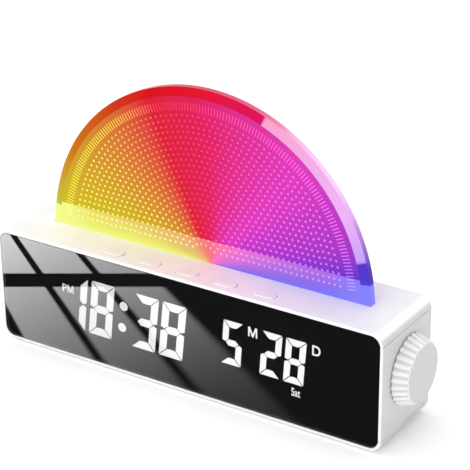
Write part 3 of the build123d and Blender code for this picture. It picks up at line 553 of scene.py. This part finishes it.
def colours(value, stops):
    """Colours along an angle given in degrees, listed from the left round to the right."""
    ordered = [(angle / 180, tone(*colour)) for angle, colour in reversed(stops)]
    return value.node("ShaderNodeValToRGB", {"stops": ordered}, {"Fac": value})


reach = reach_from_base(plate_x, plate_z)
fan = angle_from(plate_x, plate_z, *fan_middle)
fan_colour = colours(fan - reach.rising(*lean_reach) * left_lean(fan), [
    (180, (205, 200, 35)), (115, (220, 30, 55)), (92, (225, 30, 90)), (48, (220, 60, 190)),
    (18, (165, 55, 200)), (8, (100, 55, 210)), (0, (80, 55, 215)),
])
# Below foot_top the sheet is paler: the glow near the lights, and the lit white top seen through the clear
# sheet, painted in as light.
inner_foot = colours(angle_from(plate_x, plate_z, *foot_middle), [
    (180, (240, 255, 140)), (177, (240, 240, 115)), (165, (230, 200, 110)), (120, (245, 130, 120)),
    (87, (250, 115, 140)), (56, (255, 120, 185)), (21, (220, 115, 215)), (4, (140, 110, 235)),
    (2, (125, 115, 250)), (0, (130, 130, 250)),
])
foot_ends = (plate_x > 0).mixed(tone(245, 250, 142), tone(135, 131, 252))
near_end = plate_x.maths("ABSOLUTE").rising(*end_glow)
foot_glow_and_lit_top = near_end.mixed(inner_foot, foot_ends)
round_angle = angle_from(plate_x, plate_z, 0.0, plate_base)
# The bevel glows in the fan's colours; its pale band from 16 to 68 degrees is a painted reflection.
bevel_glow_and_reflection = colours(round_angle, [
    (170, (200, 190, 50)), (150, (205, 120, 10)), (125, (210, 55, 15)), (110, (220, 10, 30)),
    (90, (230, 15, 45)), (68.2, (220, 15, 95)), (68.0, (250, 165, 205)), (30, (240, 180, 250)),
    (16.2, (195, 165, 250)), (16.0, (90, 50, 205)), (8, (75, 60, 215)),
])
# The rim glows in the fan's colours, and its paler stretches are a painted highlight.
rim_glow_and_highlight = colours(round_angle, [
    (165, (190, 175, 75)), (150, (200, 130, 55)), (110, (215, 120, 115)), (100, (195, 100, 105)),
    (90, (220, 90, 95)), (72, (235, 100, 135)), (67, (240, 125, 160)), (50, (250, 195, 245)),
    (40, (250, 200, 250)), (30, (225, 165, 235)), (14, (90, 60, 180)), (10, (75, 60, 185)),
])
on_foot = plate_z < foot_top
on_bevel = (reach > bevel_start + face_slack) * (plate_y < bevel_back + depth_slack)
on_rim = (reach > plate_radius - rim_slack) * (plate_y > bevel_back - depth_slack)
on_corner = (reach > bevel_start) * (plate_z < corner_top)
face_colour = on_foot.mixed(fan_colour, foot_glow_and_lit_top)
edge_colour = on_rim.mixed(on_bevel.mixed(face_colour, bevel_glow_and_reflection), rim_glow_and_highlight)
streak = plate_place.noise(60.0, 3.0)
plate_place.feed(plate_surface["Emission Color"], on_corner.mixed(edge_colour, foot_glow_and_lit_top))
plate_place.feed(plate_surface["Base Color"], streak.mixed(tone(2, 2, 2), tone(5, 5, 5)))
plate_place.feed(plate_surface["Alpha"], sheet_cover - on_foot * foot_clearness)
plate_place.feed(plate_surface["Roughness"], streak.between(0.05, 0.12))
plate_surface["Specular IOR Level"].default_value = 0.03
plate_surface["Emission Strength"].default_value = 1.0

plate_profile = [
    (0.0, plate_front), (bevel_start, plate_front), (plate_radius, bevel_back),
    (plate_radius, plate_back), (0.0, plate_back),
]
plate = start_outline([(x, y, plate_base) for x, y in plate_profile])
bpy.ops.mesh.spin(steps=plate_steps, angle=pi, center=(0, 0, plate_base), axis=(0, 1, 0))
bpy.ops.mesh.select_all(action="SELECT")
bpy.ops.mesh.remove_doubles(threshold=2 * touching)
turn_outwards()


def under_plate(corners):
    """Whether a face lies flat under the half disc."""
    return all(abs(corner.z - plate_base) < touching for corner in corners)


def over_root(corners):
    """Whether a face under the half disc lies between the root's two ends."""
    return under_plate(corners) and all(abs(corner.x) < root_half + 10 * touching for corner in corners)


for side in (-1, 1):
    pick(plate, "FACE", under_plate)
    bpy.ops.mesh.bisect(plane_co=(side * root_half, 0, 0), plane_no=(1, 0, 0))
pick(plate, "FACE", over_root)
bpy.ops.mesh.extrude_region_move(TRANSFORM_OT_translate={"value": (0, 0, -root_depth)})
settle(plate, "plate_half_disc", lit_plate, "clock_body", smooth=12.0)
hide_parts("light_plate")

# ------------------------------------------------------------------ dots and ticks in the plate
# Laser-etched pits in both faces scatter the light: rings of small round dots, and a row of
# short radial ticks inside the bevel. They glow brighter than the clear sheet round them.
etch_depth = 0.00003
ring_pitch = 0.00265
first_ring, sparse_ring, last_ring = 3, 24, 26
more_dots = 3
ring_middle = 0.05575
ring_sink = 0.0000034
dot_radius = 0.00056
dot_corners = 10
lowest_dot, lowest_tick = 0.0613, 0.0606
tick_inner, tick_outer = 0.0726, 0.0763
tick_width = 0.00045
tick_step = 1.159
tick_slack = 0.0005
yellow_reach = (0.62, 0.78)
tick_yellow = 0.75
foot_band_light_cover = 0.55
foot_band_light_turn = (-0.03, 0.04)

etched, etched_surface, etched_place = new_material("etched_marks")
etched_x, etched_z = etched_place.axis("X"), etched_place.axis("Z")
mark_angle = angle_from(etched_x, etched_z, *fan_middle)
on_ticks = reach_from_base(etched_x, etched_z) > tick_inner - tick_slack
fan_marks = colours(mark_angle - on_ticks * left_lean(mark_angle), [
    (180, (250, 245, 80)), (150, (255, 225, 115)), (120, (250, 105, 95)), (110, (240, 40, 70)),
    (90, (245, 50, 115)), (50, (255, 95, 220)), (20, (230, 110, 250)), (12, (195, 110, 250)),
])
yellow_ticks = on_ticks * mark_angle.rising(*yellow_reach) * tick_yellow
mark_colour = yellow_ticks.mixed(fan_marks, tone(238, 238, 56))
# Marks in the band below foot_top are painted paler, like the sheet there: painted light of the lit top
# seen through it.
foot_band_light = (etched_z < foot_top) * foot_band_light_cover
foot_band_light_colour = etched_x.rising(*foot_band_light_turn).mixed(tone(250, 246, 165), tone(190, 170, 252))
etch_grain = etched_place.noise(2400.0)
etched_place.feed(etched_surface["Emission Color"], foot_band_light.mixed(mark_colour, foot_band_light_colour))
etched_place.feed(etched_surface["Base Color"], etch_grain.mixed(tone(20, 20, 20), tone(30, 30, 30)))
etched_place.feed(etched_surface["Roughness"], etch_grain.between(0.6, 0.8))
etched_surface["Specular IOR Level"].default_value = 0.1
etched_surface["Emission Strength"].default_value = 1.15


def swept(marks, middle, first, step, count):
    """Copy the marks in hand about a middle on the plate, a step in degrees apart."""
    bpy.ops.mesh.select_all(action="SELECT")
    bpy.ops.mesh.spin(steps=count - 1, angle=radians(step * (count - 1)), dupli=True,
                      center=(0, 0, middle), axis=(0, 1, 0))
    bpy.ops.object.mode_set(mode="OBJECT")
    marks.data.transform(
        Matrix.Translation((0, 0, middle))
        @ Matrix.Rotation(-radians(first), 4, "Y")
        @ Matrix.Translation((0, 0, -middle))
    )
    return marks


def etched_both_sides(marks):
    """The marks in the front face again in the back face, with their faces pointing outwards."""
    to_back = plate_back - plate_front + etch_depth
    bpy.ops.object.mode_set(mode="EDIT")
    bpy.ops.mesh.select_all(action="SELECT")
    bpy.ops.mesh.duplicate_move(TRANSFORM_OT_translate={"value": (0, to_back, 0)})
    turn_outwards()
    return marks


rings = []
for ring in range(first_ring, last_ring + 1):
    radius = ring * ring_pitch
    middle = ring_middle - ring_sink * ring ** 2
    start = degrees(asin((lowest_dot - middle) / radius))
    steps_out = ring - 1 if ring < sparse_ring else ring - 2
    count = more_dots * steps_out
    bpy.ops.object.select_all(action="DESELECT")
    bpy.ops.mesh.primitive_circle_add(
        vertices=dot_corners, radius=dot_radius, fill_type="NGON",
        location=(radius, plate_front - etch_depth, middle), rotation=(radians(90), 0, 0),
    )
    dots = bpy.context.object
    bpy.ops.object.transform_apply(location=True, rotation=True, scale=True)
    bpy.ops.object.mode_set(mode="EDIT")
    bpy.ops.mesh.select_all(action="SELECT")
    bpy.ops.mesh.extrude_region_move(TRANSFORM_OT_translate={"value": (0, etch_depth, 0)})
    rings.append(swept(dots, middle, start, (180 - 2 * start) / (count - 1), count))
settle(etched_both_sides(joined(rings)), "plate_dots", etched, "clock_body")

tick_start = degrees(asin((lowest_tick - plate_base) / tick_inner))
tick_count = int((180 - 2 * tick_start) / tick_step) + 1
first_tick = 90 - tick_step * (tick_count - 1) / 2
tick = start_box(
    (tick_inner, plate_front - etch_depth, plate_base - tick_width / 2),
    (tick_outer, plate_front, plate_base + tick_width / 2),
)
ticks = etched_both_sides(swept(tick, plate_base, first_tick, tick_step, tick_count))
settle(ticks, "plate_ticks", etched, "clock_body")

# ------------------------------------------------------------------ plate holder and its lights
# A white moulded channel grips the plate's root under the top. A narrow board with sixteen
# coloured lights closes it from below.
dress(reflector_plastic, "plate_holder")
dress(board_laminate, "light_board")
dress(light_package, "light_leds")
dress(screw_steel, "light_board_screws", "plate_holder_screws")

# ------------------------------------------------------------------ keys
# Five oval keys of the housing's plastic stand half a millimetre proud of the top, each on the
# plunger of a tactile switch.
key_plastic = moulded("key_plastic", (238, 238, 239), (246, 246, 246), 0.38, depth=0.00001, edge=0.0004)
switch_plastic = moulded("switch_plastic", (30, 30, 32), (52, 52, 54), 0.45, 1800.0)
for number in range(1, 6):
    dress(key_plastic, f"button_cap_{number}")
    dress(switch_plastic, f"tact_plunger_{number}")
dress(switch_plastic, "tact_switches")
dress(board_laminate, "button_board")
dress(screw_steel, "button_board_screws")

# ------------------------------------------------------------------ knob and rotary encoder
# The knob is moulded in the same white with 28 shallow flutes and pressed on the encoder's
# flatted shaft. The encoder's die-cast bushing is clamped in the end panel by a washer and nut.
knob_axis = next(joint["pos_m"] for joint in frame["joints"] if joint["name"] == "knob_turn")
knob_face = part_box("knob")[1].x
face_lip = 0.0003
flute_count = 28

knob_plastic, knob_surface, knob_place = new_material("knob_plastic")
# The ridges are painted white as a highlight and made smoother; the flute valleys are painted darker as
# shade.
ridge_highlight_and_polish = edge_of(knob_place, 0.00035)
knob_rise = knob_place.axis("Z") - knob_axis[2]
knob_turn = knob_rise.maths("ARCTAN2", knob_place.axis("Y") - knob_axis[1])
flutes = (knob_turn * flute_count).maths("COSINE").rising(-0.4, 1.0)
flute_shade = flutes * (knob_place.axis("X") < knob_face - face_lip)
flute_shaded_tone = flute_shade.mixed(tone(235, 235, 237), tone(206, 206, 209))
knob_place.feed(knob_surface["Base Color"], ridge_highlight_and_polish.mixed(flute_shaded_tone, tone(255, 255, 255)))
knob_smudges = knob_place.noise(smudge_scale).between(0.28, 0.36)
knob_place.feed(knob_surface["Roughness"], knob_smudges - ridge_highlight_and_polish * edge_polish)
knob_place.feed(knob_surface["Normal"], knob_place.noise(3200.0, 4.0).bump(0.000002))
dress(knob_plastic, "knob")
encoder_metal = plated("encoder_metal", (168, 168, 170), 0.42, (8.0, 1.0, 1.0))
dress(encoder_metal, "encoder_shaft", "encoder_body")
dress(screw_steel, "encoder_washer", "encoder_nut")
dress(switch_plastic, "encoder_rotor")
dress(board_laminate, "encoder_board")

# ------------------------------------------------------------------ main board and what it carries
# The main board stands on four posts over the floor, with its chips, capacitors, plugs, the
# coin cell in its holder and the drawn steel socket that looks out through the cover.
dress(board_laminate, "main_board")
dress(switch_plastic, "main_board_chips", "coin_cell_holder")
capacitor_can = plated("capacitor_can", (176, 178, 184), 0.3, (1.0, 1.0, 12.0))
dress(capacitor_can, "board_capacitors")
dress(reflector_plastic, "board_connectors")
socket_steel = plated("socket_steel", (196, 198, 202), 0.28, (1.0, 10.0, 1.0))
dress(socket_steel, "usb_socket", "coin_cell")
dress(screw_steel, "main_board_screws")

# ------------------------------------------------------------------ speaker
# A 28 mm speaker sits in a ring behind the cover's slots: a pressed steel basket, a sintered
# ferrite magnet and a dark paper cone.
magnet_ferrite = moulded("magnet_ferrite", (46, 46, 50), (70, 70, 74), 0.7, 1200.0, 0.00003)
dress(magnet_ferrite, "speaker_magnet")
cone_paper = moulded("cone_paper", (40, 40, 42), (48, 48, 50), 0.85, 700.0, 0.00005)
dress(cone_paper, "speaker_cone")
dress(encoder_metal, "speaker_frame")

# ------------------------------------------------------------------ flat leads
# Flat leads join the boards: fine parallel cores in one ribbon of pale plastic. Their plugs are
# part of the white connectors.
ribbon_plastic, ribbon_surface, ribbon_place = new_material("ribbon_plastic")
cores = ribbon_place.node("ShaderNodeTexWave", {"wave_type": "BANDS", "bands_direction": "X"},
                          {"Vector": ribbon_place, "Scale": 320.0, "Distortion": 0.0})
ribbon_place.feed(ribbon_surface["Base Color"], cores.mixed(tone(196, 196, 190), tone(222, 222, 218)))
ribbon_place.feed(ribbon_surface["Roughness"], ribbon_place.noise(400.0).between(0.4, 0.55))
ribbon_place.feed(ribbon_surface["Normal"], cores.bump(0.00005))
for lead in ("light", "display", "button", "speaker", "encoder"):
    dress(ribbon_plastic, f"{lead}_ribbon")

# ------------------------------------------------------------------ floor, lamps and camera
# A plain white sweep under soft overhead light. A dark card with a pale window on it lies just
# over the floor in front of the lens, seen only in mirror-sharp reflections.
floor_size = 6.0
card_low, card_high = (-0.36, -0.3), (0.36, -0.0215)
card_height = 0.0015
pane_left = ((-0.1217, -0.0466), (-0.0890, -0.0220))
pane_right = ((-0.0644, -0.0996), (0.0557, -0.0237))
cross_bar = (((-0.0793, -0.1088), (-0.1431, -0.0692)), ((-0.0637, -0.1006), (-0.1333, -0.0574)))
left_bar = (((-0.1718, -0.1100), (-0.0472, -0.0212)), ((-0.1688, -0.1116), (-0.0429, -0.0234)))
right_bar = (((-0.1268, -0.1090), (0.0028, -0.0218)), ((-0.1235, -0.1108), (0.0082, -0.0249)))
pane_far_end, pane_fade = (-0.1165, -0.1155), (-0.26, -0.18)
blur_start, blur_run = -0.17, 0.22
least_blur, more_blur = 0.0004, 0.0045
thickest_haze = 0.66


def seen_by_camera(value):
    """1 for rays from the camera, also by way of gloss or glass, and 0 for the lamps' light."""
    camera_ray, glossy_ray, glass_ray = (
        value.node("ShaderNodeLightPath", {}, {}, f"Is {kind} Ray")
        for kind in ("Camera", "Glossy", "Transmission")
    )
    return camera_ray.maths("MAXIMUM", glossy_ray).maths("MAXIMUM", glass_ray)


floor_white, floor_surface, floor_place = new_material("floor_white")
paper = floor_place.noise(14.0, 4.0)
floor_glow = seen_by_camera(floor_place).mixed(tone(0, 0, 0), tone(126, 126, 126))
floor_place.feed(floor_surface["Base Color"], paper.mixed(tone(246, 246, 246), tone(250, 250, 250)))
floor_place.feed(floor_surface["Roughness"], paper.between(0.85, 0.95))
floor_place.feed(floor_surface["Emission Color"], floor_glow)
floor_surface["Emission Strength"].default_value = 1.0
floor_surface["Specular IOR Level"].default_value = 0.0
bpy.ops.object.select_all(action="DESELECT")
bpy.ops.mesh.primitive_plane_add(size=floor_size, location=(0, 0, 0))
studio_floor = bpy.context.object
studio_floor.name = "studio_floor"
studio_floor.data.materials.append(floor_white)

card_paint, card_surface, card_place = new_material("window_card")
card_x, card_y = card_place.axis("X"), card_place.axis("Y")


def beyond(line, soft):
    """0 on the left of a line from its start to its end, 1 on its right, soft between."""
    (start_x, start_y), (end_x, end_y) = line
    length = hypot(end_x - start_x, end_y - start_y)
    right_x, right_y = (end_y - start_y) / length, (start_x - end_x) / length
    past = (card_x - start_x) * right_x + (card_y - start_y) * right_y
    return past.rising(0 - soft, soft)


blur = ((card_x - blur_start) / blur_run).maths("MAXIMUM", 0.0)
bar_soft = blur * blur * more_blur + least_blur
edge_soft = (card_y + 0.1) * 0.04 + 0.0018
pane = beyond(pane_left, bar_soft) * (1 - beyond(pane_right, edge_soft))
for left, right in (cross_bar, left_bar, right_bar):
    pane = pane * (1 - beyond(left, bar_soft) * (1 - beyond(right, bar_soft)))

# The pane's haze grows to the left and away from the clock. It is worked out in decimetres.
haze_x, haze_y = card_x * 10, card_y * 10
haze = (0.0384 - haze_x * 0.1124 - haze_y * 0.0612 + haze_x * haze_x * 0.1097
        + haze_x * haze_y * 0.025 - haze_y * haze_y * 0.013)
haze = haze.maths("MINIMUM", thickest_haze).maths("MAXIMUM", 0.0)
pane_end = card_y.rising(*pane_far_end) * card_x.rising(*pane_fade)
card_place.feed(card_surface["Emission Color"], pane * haze * pane_end)
card_surface["Emission Strength"].default_value = 14.9
card_surface["Base Color"].default_value = tone(0, 0, 0)
card_surface["Specular IOR Level"].default_value = 0.0

card_nodes = card_paint.node_tree.nodes
mirrored = card_place.node("ShaderNodeLightPath", {}, {}, "Is Singular Ray")
unseen = card_place.node("ShaderNodeBsdfTransparent", {}, {})
painted = Value(card_paint.node_tree, card_nodes["Principled BSDF"].outputs[0])
card_place.feed(card_nodes["Material Output"].inputs["Surface"],
                card_place.node("ShaderNodeMixShader", {}, {0: mirrored, 1: unseen, 2: painted}))
bpy.ops.object.select_all(action="DESELECT")
bpy.ops.mesh.primitive_plane_add(size=1.0, location=(
    (card_low[0] + card_high[0]) / 2, (card_low[1] + card_high[1]) / 2, card_height))
card = bpy.context.object
card.scale = (card_high[0] - card_low[0], card_high[1] - card_low[1], 1.0)
bpy.ops.object.transform_apply(location=True, rotation=True, scale=True)
card.name = "window_card"
card.data.materials.append(card_paint)
card.visible_camera = False
card.visible_diffuse = False
card.visible_transmission = False
card.visible_volume_scatter = False
card.visible_shadow = False

world = bpy.data.worlds.new("studio_world")
bpy.context.scene.world = world
world.use_nodes = True
background = world.node_tree.nodes["Background"]
background.inputs["Color"].default_value = (1.0, 1.0, 1.0, 1.0)
sky = Value(world.node_tree, background.outputs["Background"])
sky.feed(background.inputs["Strength"], seen_by_camera(sky).between(0.45, 1.0))


def lamp(name, power, size, place, target=(0.0, 0.0, 0.04)):
    """A square soft lamp pointed at the clock."""
    bpy.ops.object.light_add(type="AREA", location=place)
    made = bpy.context.object
    made.name = name
    made.data.energy = power
    made.data.size = size
    made.rotation_euler = (Vector(place) - Vector(target)).to_track_quat("Z", "Y").to_euler()
    return made


bpy.ops.object.light_add(type="SUN", rotation=(radians(-6), radians(-16), 0))
overhead = bpy.context.object
overhead.name = "overhead_light"
overhead.data.energy = 1.17
overhead.data.angle = radians(70)
lamp("left_lamp", power=0.9, size=0.4, place=(-0.25, -0.1, 0.7))
front_lamp = lamp("front_lamp", power=9.0, size=0.8, place=(0.0, -1.25, 0.35))
front_lamp.visible_glossy = False
rim_lamp = lamp("rim_lamp", power=12.0, size=0.6, place=(0.42, 0.76, 0.50))
rim_lamp.visible_diffuse = False

camera_place = (0.39898, -0.58279, 0.39202)
camera_turn, camera_rise, camera_roll = radians(33.33), radians(24.67), radians(-0.67)
right = Vector((cos(camera_turn), sin(camera_turn), 0))
back = Vector((sin(camera_turn) * cos(camera_rise), -cos(camera_turn) * cos(camera_rise), sin(camera_rise)))
up = back.cross(right)
rolled_right = right * cos(camera_roll) + up * sin(camera_roll)
rolled_up = up * cos(camera_roll) - right * sin(camera_roll)
camera_frame = Matrix((rolled_right, rolled_up, back)).transposed().to_4x4()
bpy.ops.object.camera_add()
camera = bpy.context.object
camera.data.lens = 137.36
camera.data.sensor_width = 36.0
camera.matrix_world = Matrix.Translation(camera_place) @ camera_frame
bpy.context.scene.camera = camera
bpy.context.scene.view_settings.view_transform = "Standard"
